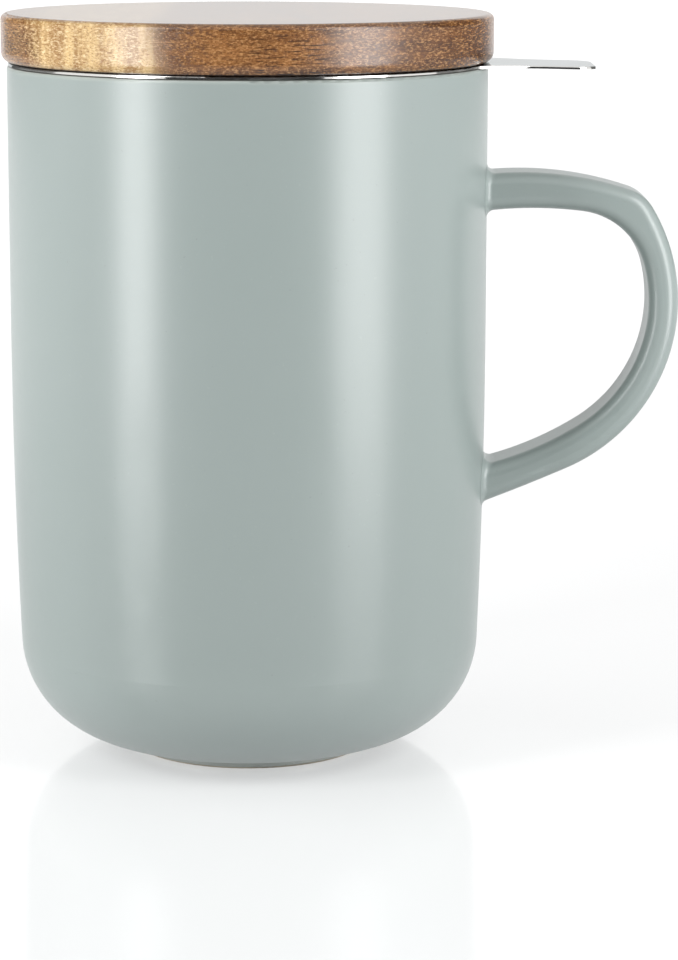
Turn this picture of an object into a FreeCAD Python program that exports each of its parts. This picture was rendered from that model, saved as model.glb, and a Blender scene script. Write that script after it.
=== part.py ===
import FreeCAD, Part
import math
import os
import Sketcher
from FreeCAD import Placement, Rotation, Vector

# Lidded tea mug with infuser. The origin is the centre of the foot on the table, +Z is up
# and +X points to the handle. Lengths are in millimetres and angles in degrees.
SIZES = {
    # mug body, slip cast
    "mug_outer_radius": 43.5,
    "mug_height": 126.0,
    "wall_thickness": 4.0,
    "rim_round": 0.7,
    "straight_wall_bottom": 77.0,
    "lean_radius": 1470.0,
    "corner_radius": 18.7,
    "underside_lift": 2.2,
    "foot_radius": 22.2,
    "foot_height": 1.15,
    "foot_land": 3.0,
    "foot_round": 0.5,
    "foot_recess": 2.0,
    # mug handle, cast by itself and luted to the wall
    "handle_reach": 78.4,
    "handle_width": 13.0,
    "handle_edge_round": 2.4,
    "handle_root_fillet": 1.5,
    "luting_film": 0.02,
    "grip_drop": 43.0,
    "grip_thickness": 5.4,
    "outer_grip_radius": 33.4,
    "outer_corner_start": 31.6,
    "outer_corner_end": 71.6,
    "outer_corner_radius": 7.5,
    "outer_top_radius": 62.6,
    "outer_foot_start": 66.3,
    "outer_foot_radius": 340.0,
    "inner_grip_radius": 26.6,
    "inner_corner_start": 15.1,
    "inner_corner_end": 83.2,
    "inner_corner_radius": 13.5,
    "inner_top_radius": 74.0,
    "inner_foot_start": 58.0,
    "inner_foot_radius": 61.0,
    # infuser rim, one pressing with its tab
    "infuser_sheet": 0.5,
    "bore_clearance": 1.0,
    "flange_setback": 0.2,
    "rim_bend_radius": 1.0,
    "collar_depth": 18.0,
    "tab_reach": 62.6,
    "tab_root_width": 27.0,
    "tab_tip_length": 11.6,
    "tab_waist_width": 19.4,
    "tab_tip_round": 4.0,
    "tab_droop": 1.2,
    "tab_root_fillet": 1.5,
    "tab_waist_round": 12.0,
    "rim_edge_round": 0.2,
    # infuser basket
    "basket_depth": 90.0,
    "basket_sheet": 0.35,
    "lap_clearance": 0.05,
    "collar_lap": 4.0,
    "seam_lap": 5.0,
    "ring_height": 6.0,
    "ring_sheet": 0.4,
    "ring_bend_radius": 0.3,
    "ring_lip_width": 4.0,
    "floor_upstand": 4.0,
    "floor_bend_radius": 0.8,
    "seam_floor_gap": 0.6,
    # lid, turned from one blank, and its seal
    "lid_overhang": 1.0,
    "lid_thickness": 8.8,
    "lid_top_round": 1.2,
    "lid_bottom_round": 2.0,
    "plug_clearance": 1.5,
    "plug_depth": 10.0,
    "plug_edge_round": 1.0,
    "groove_drop": 2.5,
    "groove_height": 5.0,
    "groove_depth": 2.2,
    "seal_fit": 0.08,
    "seal_core_stand": 0.4,
    "seal_lip_height": 0.8,
    "seal_lip_clearance": 0.12,
}


class Size:
    """A length or an angle: its value, and the formula that ties it to the sheet."""

    def __init__(self, value, formula):
        self.value = value
        self.formula = formula

    def __add__(self, other):
        other = as_size(other)
        return Size(self.value + other.value, f"({self.formula} + {other.formula})")

    def __sub__(self, other):
        other = as_size(other)
        return Size(self.value - other.value, f"({self.formula} - {other.formula})")

    def __mul__(self, other):
        other = as_size(other)
        return Size(self.value * other.value, f"({self.formula} * {other.formula})")

    def __truediv__(self, other):
        other = as_size(other)
        return Size(self.value / other.value, f"({self.formula} / {other.formula})")

    def __neg__(self):
        return Size(-self.value, f"(0 - {self.formula})")


def as_size(number):
    """A plain number as a size, for the formulas that hold one."""
    if isinstance(number, Size):
        return number
    return Size(number, f"({number})")


def root(size):
    return Size(math.sqrt(size.value), f"sqrt({size.formula})")


def cosine(angle):
    return Size(math.cos(math.radians(angle.value)), f"cos({angle.formula})")


def sine(angle):
    return Size(math.sin(math.radians(angle.value)), f"sin({angle.formula})")


doc = FreeCAD.newDocument("lidded_tea_mug")
sheet = doc.addObject("Spreadsheet::Sheet", "Sizes")
for row, (alias, number) in enumerate(SIZES.items(), start=1):
    sheet.set(f"A{row}", alias)
    sheet.set(f"B{row}", str(number))
    sheet.setAlias(f"B{row}", alias)
doc.recompute()
s = {alias: Size(number, f"Sizes.{alias}") for alias, number in SIZES.items()}

# What a full turn measures, and how far apart two equal coordinates may be measured
full_turn = 360.0
tolerance = 0.01

# Sizes and places that several pieces share
bore_radius = s["mug_outer_radius"] - s["wall_thickness"]
corner_height = s["corner_radius"] + s["underside_lift"]
grip_height = s["mug_height"] - s["grip_drop"]
collar_radius = bore_radius - s["bore_clearance"]
collar_inner = collar_radius - s["infuser_sheet"]
flange_radius = s["mug_outer_radius"] - s["flange_setback"]
half_root = s["tab_root_width"] / 2
tab_root_square = flange_radius * flange_radius - half_root * half_root
tab_waist = s["tab_reach"] - s["tab_tip_length"]
sleeve_radius = collar_inner - s["lap_clearance"]
sleeve_inner = sleeve_radius - s["basket_sheet"]
sleeve_top = s["collar_lap"] - s["collar_depth"]
basket_bottom = s["infuser_sheet"] - s["basket_depth"]
floor_bottom = basket_bottom + s["ring_sheet"]
plug_radius = collar_inner - s["plug_clearance"]
lid_radius = s["mug_outer_radius"] + s["lid_overhang"]
lid_seat = s["mug_height"] + s["infuser_sheet"]


class Outline:
    """A closed loop of lines and arcs in a sketch, drawn from corner to corner.

    A coordinate that is a Size is tied to the sheet, 0 lies on the sketch's axis, and any
    other number is only where the solver starts. A smooth joint is tangent.
    """

    def __init__(self, sketch, start):
        self.sketch = sketch
        self.start = start
        self.here = start
        self.first = None
        self.last = None

    def line(self, to, smooth=False):
        piece = self.sketch.addGeometry(Part.LineSegment(at(self.here), at(to)), False)
        return self.join(piece, 1, 2, to, smooth)

    def arc(self, to, radius, left, smooth=False, fixed=True):
        """An arc of under half a circle that turns left or right on its way to its end."""
        begin, end = at(self.here), at(to)
        size = radius.value if isinstance(radius, Size) else radius
        chord = end - begin
        side = Vector(-chord.y, chord.x, 0).normalize() * (1 if left else -1)
        rise = math.sqrt(max(size * size - chord.Length ** 2 / 4, 0))
        centre = (begin + end) / 2 + side * rise
        circle = Part.Circle(centre, Vector(0, 0, 1), size)
        low, high = (begin, end) if left else (end, begin)
        low_turn, high_turn = circle.parameter(low), circle.parameter(high)
        piece = self.sketch.addGeometry(Part.ArcOfCircle(circle, low_turn, high_turn), False)
        if fixed:
            rule = Sketcher.Constraint("Radius", piece, size)
            bind(self.sketch, rule, radius)
        enter, leave = (1, 2) if left else (2, 1)
        return self.join(piece, enter, leave, to, smooth)

    def join(self, piece, enter, leave, to, smooth):
        if self.last is None:
            self.first = (piece, enter)
            pin(self.sketch, self.first, self.start)
        else:
            rule = "Tangent" if smooth else "Coincident"
            self.sketch.addConstraint(Sketcher.Constraint(rule, *self.last, piece, enter))
        self.last = (piece, leave)
        self.here = to
        if to is self.start:
            self.sketch.addConstraint(Sketcher.Constraint("Coincident", *self.last, *self.first))
        else:
            pin(self.sketch, self.last, to)
        return piece

    def close(self):
        return self.line(self.start)


def at(point):
    """The place of a corner as a vector in the sketch."""
    across, up = (c.value if isinstance(c, Size) else c for c in point)
    return Vector(across, up, 0)


def bind(sketch, rule, size):
    index = sketch.addConstraint(rule)
    sketch.setExpression(f"Constraints[{index}]", size.formula)


def pin(sketch, end, point):
    """Ties each coordinate of a corner to the sheet, or to the axis where it is 0."""
    for kind, axis, coordinate in (("DistanceX", -2, point[0]), ("DistanceY", -1, point[1])):
        if isinstance(coordinate, Size):
            if coordinate.value < 0:
                rule = Sketcher.Constraint(kind, *end, -1, 1, -coordinate.value)
                bind(sketch, rule, -coordinate)
            else:
                rule = Sketcher.Constraint(kind, -1, 1, *end, coordinate.value)
                bind(sketch, rule, coordinate)
        elif coordinate == 0:
            sketch.addConstraint(Sketcher.Constraint("PointOnObject", *end, axis))


def new_body(label, height=None):
    """A body whose own frame stands at this height over the foot."""
    body = doc.addObject("PartDesign::Body", label)
    body.Label = label
    if height is not None:
        body.Placement = Placement(Vector(0, 0, height.value), Rotation())
        body.setExpression("Placement.Base.z", height.formula)
    return body


def new_sketch(body, name, plane):
    sketch = body.newObject("Sketcher::SketchObject", name)
    face = [f for f in body.Origin.OriginFeatures if f.Role == plane][0]
    sketch.AttachmentSupport = (face, [""])
    sketch.MapMode = "FlatFace"
    return sketch


def turned(body, sketch, name, kind="PartDesign::Revolution"):
    """The sketch turned once about the body's own Z axis."""
    feature = body.newObject(kind, name)
    feature.Profile = sketch
    feature.ReferenceAxis = (sketch, ["V_Axis"])
    feature.Angle = full_turn
    doc.recompute()
    return feature


def outside_wall(outline, film=0):
    """Draws the mug's outside from the foot's edge up to the straight wall.

    A film moves the whole line outwards by its thickness.
    """
    top_radius = s["mug_outer_radius"] + film
    corner_radius = s["corner_radius"] + film
    lean_radius = s["lean_radius"] + film
    radius, corner, lean = top_radius.value, corner_radius.value, lean_radius.value
    straight, middle = s["straight_wall_bottom"].value, corner_height.value
    tilt = math.asin((straight - middle) / (lean - corner))
    centre = Vector(radius - lean + (lean - corner) * math.cos(tilt), middle, 0)
    foot = at(outline.here)
    reach = centre - foot
    slope = math.atan2(reach.y, reach.x) - math.asin(corner / reach.Length)
    run = math.sqrt(reach.Length ** 2 - corner ** 2)
    cone_end = foot + Vector(math.cos(slope), math.sin(slope), 0) * run
    corner_end = centre + Vector(math.cos(tilt), -math.sin(tilt), 0) * corner
    outline.line((cone_end.x, cone_end.y))
    bend = outline.arc((corner_end.x, corner_end.y), corner_radius, True, True)
    rule = Sketcher.Constraint("DistanceY", -1, 1, bend, 3, middle)
    bind(outline.sketch, rule, corner_height)
    outline.arc((top_radius, s["straight_wall_bottom"]), lean_radius, True, True)
    return bend, centre, tilt


def make_mug_body():
    """The cup: an even wall, a rounded bottom corner and a foot ring."""
    body = new_body("mug_body")
    sketch = new_sketch(body, "mug_section", "XZ_Plane")
    foot_inner = s["foot_radius"] - s["foot_land"]
    foot_round = s["foot_round"]
    rim_round = s["rim_round"]
    outline = Outline(sketch, (0, s["foot_recess"]))
    outline.line((foot_inner, s["foot_recess"]))
    outline.line((foot_inner, foot_round))
    outline.arc((foot_inner + foot_round, 0), foot_round, True)
    outline.line((s["foot_radius"] - foot_round, 0))
    outline.arc((s["foot_radius"], foot_round), foot_round, True)
    outline.line((s["foot_radius"], s["foot_height"]))
    bend, centre, tilt = outside_wall(outline)
    outline.line((s["mug_outer_radius"], s["mug_height"] - rim_round), smooth=True)
    outline.arc((s["mug_outer_radius"] - rim_round, s["mug_height"]), rim_round, True)
    outline.line((bore_radius + rim_round, s["mug_height"]))
    outline.arc((bore_radius, s["mug_height"] - rim_round), rim_round, True)
    outline.line((bore_radius, s["straight_wall_bottom"]))
    inner_corner = s["corner_radius"] - s["wall_thickness"]
    toe = centre + Vector(math.cos(tilt), -math.sin(tilt), 0) * inner_corner.value
    lean = s["lean_radius"].value - s["wall_thickness"].value
    outline.arc((toe.x, toe.y), lean, False, True, fixed=False)
    floor_height = centre.y - inner_corner.value
    inner_bend = outline.arc((centre.x, floor_height), inner_corner, False, True)
    sketch.addConstraint(Sketcher.Constraint("Coincident", inner_bend, 3, bend, 3))
    floor = outline.line((0, floor_height), smooth=True)
    sketch.addConstraint(Sketcher.Constraint("Horizontal", floor))
    outline.close()
    turned(body, sketch, "mug_turned")
    return body


def along(centre, radius, angle):
    """The corner at this angle on a circle."""
    return (centre[0] + radius * cosine(angle), centre[1] + radius * sine(angle))


def height_on(centre, radius, across, side):
    """The height of a circle where it crosses this distance, above or below its centre."""
    run = across - centre[0]
    rise = root(radius * radius - run * run)
    return centre[1] + rise if side > 0 else centre[1] - rise


def handle_side(which, reach, across):
    """One side of the loop, from the upper root over the grip to the lower root."""
    grip, corner = s[f"{which}_grip_radius"], s[f"{which}_corner_radius"]
    top, foot = s[f"{which}_top_radius"], s[f"{which}_foot_radius"]
    start, end = s[f"{which}_corner_start"], s[f"{which}_corner_end"]
    low = -s[f"{which}_foot_start"]
    grip_centre = (reach - grip, grip_height)
    corner_centre = along(grip_centre, grip - corner, start)
    top_centre = along(corner_centre, corner - top, end)
    foot_centre = along(grip_centre, grip - foot, low)
    upper_root = (across, height_on(top_centre, top, across, 1))
    lower_root = (across, height_on(foot_centre, foot, across, -1))
    return [
        (upper_root, None),
        (along(corner_centre, corner, end), top),
        (along(grip_centre, grip, start), corner),
        (along(grip_centre, grip, low), grip),
        (lower_root, foot),
    ]


def make_mug_handle():
    """A flat strap bent into a loop, with soft edges and a small fillet at each root.

    The mug's outside is added before the root fillets. It is cut away after them, with a
    film's thickness more, so the roots take the wall's own curve.
    """
    body = new_body("mug_handle")
    across = s["mug_outer_radius"] - s["wall_thickness"] / 2
    outer = handle_side("outer", s["handle_reach"], across)
    inner = handle_side("inner", s["handle_reach"] - s["grip_thickness"], across)
    sketch = new_sketch(body, "handle_outline", "XZ_Plane")
    outline = Outline(sketch, outer[0][0])
    for corner, radius in outer[1:]:
        outline.arc(corner, radius, False)
    outline.line(inner[-1][0])
    for index in range(len(inner) - 1, 0, -1):
        outline.arc(inner[index - 1][0], inner[index][1], True)
    outline.close()
    strap = body.newObject("PartDesign::Pad", "handle_strap")
    strap.Profile = sketch
    strap.Midplane = True
    strap.setExpression("Length", s["handle_width"].formula)
    doc.recompute()
    rounded(body, strap, "handle_soft_edges", s["handle_edge_round"], is_strap_edge)
    added = mug_outside(body, "mug_outside")
    fused = turned(body, added, "mug_outside_added")
    rounded(body, fused, "handle_root_flare", s["handle_root_fillet"], is_root_edge)
    removed = mug_outside(body, "mug_outside_with_film", s["luting_film"])
    turned(body, removed, "mug_outside_removed", "PartDesign::Groove")
    return body


def is_strap_edge(edge):
    """True for the long edges along both sides of the strap."""
    on_side = abs(abs(edge.CenterOfMass.y) - s["handle_width"].value / 2) < tolerance
    return on_side and edge.BoundBox.XMax > s["mug_outer_radius"].value


def mug_outside(body, name, film=0):
    """A sketch of the mug's outside as one solid of revolution, and a film over it."""
    sketch = new_sketch(body, name, "XZ_Plane")
    bottom, top = s["foot_height"] - film, s["mug_height"] + film
    outline = Outline(sketch, (0, bottom))
    outline.line((s["foot_radius"] + film, bottom))
    outside_wall(outline, film)
    outline.line((s["mug_outer_radius"] + film, top), smooth=True)
    outline.line((0, top))
    outline.close()
    return sketch


def is_root_edge(edge):
    """True for the edges where the strap runs into the mug's wall."""
    box = edge.BoundBox
    half = s["handle_width"].value / 2 + tolerance
    near_handle = box.XMin > bore_radius.value and abs(box.YMin) < half and abs(box.YMax) < half
    on_wall = all(
        abs(math.hypot(v.X, v.Y) - s["mug_outer_radius"].value) < s["wall_thickness"].value / 2
        for v in edge.Vertexes
    )
    return near_handle and on_wall and len(edge.Vertexes) == 2


def sheet_band(sketch, thickness, radius, top, bottom):
    """A plain upright band of sheet with its outside at this radius."""
    outline = Outline(sketch, (radius, bottom))
    outline.line((radius, top))
    outline.line((radius - thickness, top))
    outline.line((radius - thickness, bottom))
    outline.close()


def make_infuser_rim():
    """The flange that rests on the mug's rim, the collar below it and the tab."""
    body = new_body("infuser_rim", s["mug_height"])
    sheet_size = s["infuser_sheet"]
    bend = s["rim_bend_radius"]
    sketch = new_sketch(body, "rim_section", "XZ_Plane")
    outline = Outline(sketch, (collar_radius, -s["collar_depth"]))
    outline.line((collar_radius, -bend))
    outline.arc((collar_radius + bend, 0), bend, False)
    outline.line((flange_radius, 0))
    outline.line((flange_radius, sheet_size))
    outline.line((collar_radius + bend, sheet_size))
    outline.arc((collar_inner, -bend), bend + sheet_size, True)
    outline.line((collar_inner, -s["collar_depth"]))
    outline.close()
    turned(body, sketch, "rim_turned")
    cut = make_tab(body)
    hollow = rounded(body, cut, "tab_root_corners", s["tab_root_fillet"], is_root_corner)
    eased = rounded(body, hollow, "tab_waist_corners", s["tab_waist_round"], is_waist_corner)
    rounded(body, eased, "rim_upper_edge", s["rim_edge_round"], is_upper_edge)
    return body


def rounded(body, base, name, radius, wanted):
    """Rounds the wanted edges of a feature."""
    feature = body.newObject("PartDesign::Fillet", name)
    feature.Base = (base, edges_where(base, wanted))
    feature.setExpression("Radius", radius.formula)
    doc.recompute()
    return feature


def edges_where(feature, wanted):
    """The names of the feature's edges for which the test holds."""
    edges = enumerate(feature.Shape.Edges, start=1)
    return [f"Edge{number}" for number, edge in edges if wanted(edge)]


def is_upright(edge):
    box = edge.BoundBox
    thin = s["infuser_sheet"].value / 4
    return box.ZLength > thin and max(box.XLength, box.YLength) < thin


def is_root_corner(edge):
    """True for the two upright corners where the tab leaves the flange."""
    near_flange = abs(edge.CenterOfMass.x - root(tab_root_square).value) < tolerance
    return is_upright(edge) and near_flange


def is_waist_corner(edge):
    """True for the two upright corners where the tab's sides change direction."""
    near_waist = abs(edge.CenterOfMass.x - tab_waist.value) < tolerance
    return is_upright(edge) and near_waist


def is_upper_edge(edge):
    """True for the upper edge that runs round the flange and the tab."""
    middle, box = edge.CenterOfMass, edge.BoundBox
    past_bend = max(middle.x - s["mug_outer_radius"].value, 0)
    level = s["infuser_sheet"].value / 2
    level -= past_bend * math.tan(math.radians(s["tab_droop"].value))
    across_tab = box.XLength < tolerance and box.XMax < tab_waist.value
    outside = all(
        math.hypot(v.X, v.Y) > flange_radius.value - tolerance for v in edge.Vertexes
    )
    return outside and middle.z > level and not across_tab and not is_upright(edge)


def make_tab(body):
    """The tab: a strip that starts on the flange and droops a little, cut to its outline."""
    sheet_size = s["infuser_sheet"]
    bend_line = s["mug_outer_radius"]
    start = collar_radius + s["rim_bend_radius"]
    end = s["tab_reach"] + sheet_size
    fall = (end - bend_line) * sine(s["tab_droop"]) / cosine(s["tab_droop"])
    side = new_sketch(body, "tab_side", "XZ_Plane")
    outline = Outline(side, (start, 0))
    outline.line((bend_line, 0))
    outline.line((end, -fall))
    outline.line((end, sheet_size - fall))
    outline.line((bend_line, sheet_size))
    outline.line((start, sheet_size))
    outline.close()
    strip = body.newObject("PartDesign::Pad", "tab_strip")
    strip.Profile = side
    strip.Midplane = True
    strip.setExpression("Length", s["tab_root_width"].formula)
    doc.recompute()
    wide, narrow = s["tab_root_width"] / 2, s["tab_waist_width"] / 2
    root_reach = root(tab_root_square)
    waist, tip, corner = tab_waist, s["tab_reach"], s["tab_tip_round"]
    beyond = wide + sheet_size
    plan = new_sketch(body, "tab_plan", "XY_Plane")
    outline = Outline(plan, (root_reach, -beyond))
    outline.line((end + sheet_size, -beyond))
    outline.line((end + sheet_size, beyond))
    outline.line((root_reach, beyond))
    outline.line((root_reach, wide))
    outline.line((waist, narrow))
    outline.line((tip - corner, narrow))
    outline.arc((tip, narrow - corner), corner, False)
    outline.line((tip, corner - narrow))
    outline.arc((tip - corner, -narrow), corner, False)
    outline.line((waist, -narrow))
    outline.line((root_reach, -wide))
    outline.close()
    cut = body.newObject("PartDesign::Pocket", "tab_cut")
    cut.Profile = plan
    cut.Type = "ThroughAll"
    cut.Midplane = True
    doc.recompute()
    return cut


def make_infuser_wall():
    """The sleeve of thin sheet, rolled, with its ends lapped on the inside under the tab.

    The fine holes in it and in the floor are left to the finish: the sheet is plain here.
    """
    body = new_body("infuser_wall", s["mug_height"])
    low = floor_bottom + s["ring_bend_radius"]
    sketch = new_sketch(body, "sleeve_section", "XZ_Plane")
    sheet_band(sketch, s["basket_sheet"], sleeve_radius, sleeve_top, low)
    turned(body, sketch, "sleeve_turned")
    seam = new_sketch(body, "seam_section", "XZ_Plane")
    seam_low = floor_bottom + s["floor_upstand"] + s["seam_floor_gap"]
    sheet_band(seam, s["basket_sheet"], sleeve_inner, sleeve_top, seam_low)
    lap = body.newObject("PartDesign::Revolution", "seam_lap_turned")
    lap.Profile = seam
    lap.ReferenceAxis = (seam, ["V_Axis"])
    lap.Midplane = True
    lap_angle = s["seam_lap"] * full_turn / (sleeve_inner * 2 * math.pi)
    lap.setExpression("Angle", lap_angle.formula)
    doc.recompute()
    return body


def make_infuser_floor():
    """The dished floor: a flat disc with its edge turned up inside the sleeve."""
    body = new_body("infuser_floor", s["mug_height"])
    sheet_size = s["ring_sheet"]
    bend = s["floor_bend_radius"]
    outer = sleeve_inner - s["lap_clearance"]
    top = floor_bottom + s["floor_upstand"]
    sketch = new_sketch(body, "floor_section", "XZ_Plane")
    outline = Outline(sketch, (0, floor_bottom))
    outline.line((outer - bend - sheet_size, floor_bottom))
    outline.arc((outer, floor_bottom + bend + sheet_size), bend + sheet_size, True)
    outline.line((outer, top))
    outline.line((outer - sheet_size, top))
    outline.line((outer - sheet_size, floor_bottom + bend + sheet_size))
    outline.arc((outer - bend - sheet_size, floor_bottom + sheet_size), bend, False)
    outline.line((0, floor_bottom + sheet_size))
    outline.close()
    turned(body, sketch, "floor_turned")
    return body


def make_infuser_base_ring():
    """The ring pressed round the sleeve's lower edge, with a lip under the floor."""
    body = new_body("infuser_base_ring", s["mug_height"])
    sheet_size = s["ring_sheet"]
    bend = s["ring_bend_radius"]
    inner = sleeve_radius + s["lap_clearance"]
    outer = inner + sheet_size
    lip = inner - s["ring_lip_width"]
    sketch = new_sketch(body, "ring_section", "XZ_Plane")
    outline = Outline(sketch, (lip, basket_bottom))
    outline.line((inner - bend, basket_bottom))
    outline.arc((outer, floor_bottom + bend), bend + sheet_size, True)
    outline.line((outer, basket_bottom + s["ring_height"]))
    outline.line((inner, basket_bottom + s["ring_height"]))
    outline.line((inner, floor_bottom + bend))
    outline.arc((inner - bend, floor_bottom), bend, False)
    outline.line((lip, floor_bottom))
    outline.close()
    turned(body, sketch, "ring_turned")
    return body


def make_lid_disc():
    """The wooden lid: a disc with soft edges and a plug with a groove for the seal."""
    body = new_body("lid_disc", lid_seat)
    top, edge = s["lid_top_round"], s["lid_bottom_round"]
    groove_top = -s["groove_drop"]
    groove_bottom = groove_top - s["groove_height"]
    groove_radius = plug_radius - s["groove_depth"]
    plug_edge = s["plug_edge_round"]
    sketch = new_sketch(body, "lid_section", "XZ_Plane")
    outline = Outline(sketch, (0, -s["plug_depth"]))
    outline.line((plug_radius - plug_edge, -s["plug_depth"]))
    outline.arc((plug_radius, plug_edge - s["plug_depth"]), plug_edge, True)
    outline.line((plug_radius, groove_bottom))
    outline.line((groove_radius, groove_bottom))
    outline.line((groove_radius, groove_top))
    outline.line((plug_radius, groove_top))
    outline.line((plug_radius, 0))
    outline.line((lid_radius - edge, 0))
    outline.arc((lid_radius, edge), edge, True)
    outline.line((lid_radius, s["lid_thickness"] - top))
    outline.arc((lid_radius - top, s["lid_thickness"]), top, True)
    outline.line((0, s["lid_thickness"]))
    outline.close()
    turned(body, sketch, "lid_turned")
    return body


def make_lid_seal():
    """The silicone ring: a core that fills the groove and two lips that wipe the collar."""
    body = new_body("lid_seal", lid_seat)
    fit = s["seal_fit"]
    core_inner = plug_radius - s["groove_depth"] + fit
    core_outer = plug_radius + s["seal_core_stand"]
    lip_radius = collar_inner - s["seal_lip_clearance"]
    top = -s["groove_drop"] - fit
    bottom = -s["groove_drop"] - s["groove_height"] + fit
    lip = s["seal_lip_height"]
    half = lip / 2
    sketch = new_sketch(body, "seal_section", "XZ_Plane")
    outline = Outline(sketch, (core_inner, bottom))
    outline.line((lip_radius - half, bottom))
    outline.arc((lip_radius, bottom + half), half, True)
    outline.arc((lip_radius - half, bottom + lip), half, True)
    outline.line((core_outer, bottom + lip))
    outline.line((core_outer, top - lip))
    outline.line((lip_radius - half, top - lip))
    outline.arc((lip_radius, top - half), half, True)
    outline.arc((lip_radius - half, top), half, True)
    outline.line((core_inner, top))
    outline.close()
    turned(body, sketch, "seal_turned")
    return body


pieces = [
    make_mug_body(),
    make_mug_handle(),
    make_infuser_rim(),
    make_infuser_wall(),
    make_infuser_floor(),
    make_infuser_base_ring(),
    make_lid_disc(),
    make_lid_seal(),
]
doc.recompute()

for item in doc.Objects:
    if "Invalid" in item.State or "Error" in item.State:
        raise RuntimeError(f"{item.Name} failed: {item.State}")
    if item.isDerivedFrom("Sketcher::SketchObject") and not item.FullyConstrained:
        raise RuntimeError(f"{item.Name} is not fully constrained")
for piece in pieces:
    if piece.Shape.isNull() or not piece.Shape.isValid() or len(piece.Shape.Solids) != 1:
        raise RuntimeError(f"{piece.Label} is not one sound solid")

os.makedirs("parts", exist_ok=True)
for piece in pieces:
    piece.Shape.exportStep(f"parts/{piece.Label}.step")
    box = piece.Shape.BoundBox
    print(
        f"{piece.Label}: {piece.Shape.Volume / 1000:.2f} cm3,",
        f"{box.XLength:.2f} x {box.YLength:.2f} x {box.ZLength:.2f} mm,",
        f"z {box.ZMin:.2f} to {box.ZMax:.2f}",
    )
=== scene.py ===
# %% [markdown]
# # A lidded tea mug with its infuser
# This lesson dresses a finished solid model: a tall stoneware mug, a steel infuser that
# hangs in it and an acacia lid. The solids already have the right shapes, so most of the
# work is on finishes and light, and on the pieces whose fine detail the solids leave out:
# the perforated sheet and the soft seal.
# The alternative, modelling every piece again in Blender, would only risk losing a size.

# %% Load the packed part
import math

import bpy
from mathutils import Matrix, Vector
from mathutils.geometry import delaunay_2d_cdt


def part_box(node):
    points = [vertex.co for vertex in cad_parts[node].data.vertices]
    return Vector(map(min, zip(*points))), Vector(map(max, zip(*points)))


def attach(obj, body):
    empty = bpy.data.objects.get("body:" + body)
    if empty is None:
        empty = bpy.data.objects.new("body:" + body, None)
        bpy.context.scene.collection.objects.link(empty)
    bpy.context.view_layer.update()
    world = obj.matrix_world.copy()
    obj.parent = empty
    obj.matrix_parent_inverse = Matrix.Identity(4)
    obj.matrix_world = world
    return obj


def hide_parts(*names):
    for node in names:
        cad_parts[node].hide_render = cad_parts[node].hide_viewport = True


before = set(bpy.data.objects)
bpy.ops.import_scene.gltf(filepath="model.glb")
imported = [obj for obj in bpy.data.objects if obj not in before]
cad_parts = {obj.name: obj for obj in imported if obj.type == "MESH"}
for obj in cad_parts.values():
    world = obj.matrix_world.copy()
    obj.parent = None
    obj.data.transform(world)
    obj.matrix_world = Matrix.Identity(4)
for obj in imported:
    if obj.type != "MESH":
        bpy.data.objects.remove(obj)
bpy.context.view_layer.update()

MM = 0.001
MICRON = 0.000001
for name in sorted(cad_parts):
    low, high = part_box(name)
    print(name, [round(side / MM, 2) for side in high - low], "mm")

# %% [markdown]
# ## The camera
# The picture was taken with a long lens from a little above the lid, so the mug's sides
# hardly converge. A camera could be placed by eye, but its height, tilt and focal length
# were worked out from the outlines of the mug, the lid and the rim, which fix all three.

# %% Place the camera
CAMERA_PLACE = (0.01663, -0.600, 0.16335)
CAMERA_TILT = math.radians(10.766)
CAMERA_ROLL = math.radians(0.097)
CAMERA_LENS = 123.465
SENSOR_WIDTH = 36.0
NEAREST_SEEN = 0.01

camera_data = bpy.data.cameras.new("camera")
camera_data.lens = CAMERA_LENS
camera_data.sensor_width = SENSOR_WIDTH
camera_data.clip_start = NEAREST_SEEN
camera = bpy.data.objects.new("camera", camera_data)
turn_up = Matrix.Rotation(math.pi / 2 - CAMERA_TILT, 4, "X")
camera.matrix_world = (
    Matrix.Translation(CAMERA_PLACE) @ turn_up @ Matrix.Rotation(CAMERA_ROLL, 4, "Z")
)
bpy.context.scene.collection.objects.link(camera)
bpy.context.scene.camera = camera
print("camera", CAMERA_LENS, "mm, tilted down", round(math.degrees(CAMERA_TILT), 2), "degrees")

# %% [markdown]
# ## A short hand for shader nodes
# Every finish here is a small network of nodes. Written out in full, each node takes five
# or six lines, and the recipe gets lost. This class makes one node per call and links any
# socket that is handed to it, so that a finish reads like a list of what it is made of.

# %% Define the helper for finishes
# The Mix node has sockets for numbers and for vectors before those for colours.
FIRST_COLOUR, SECOND_COLOUR, MIXED_COLOUR = 6, 7, 2


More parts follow.
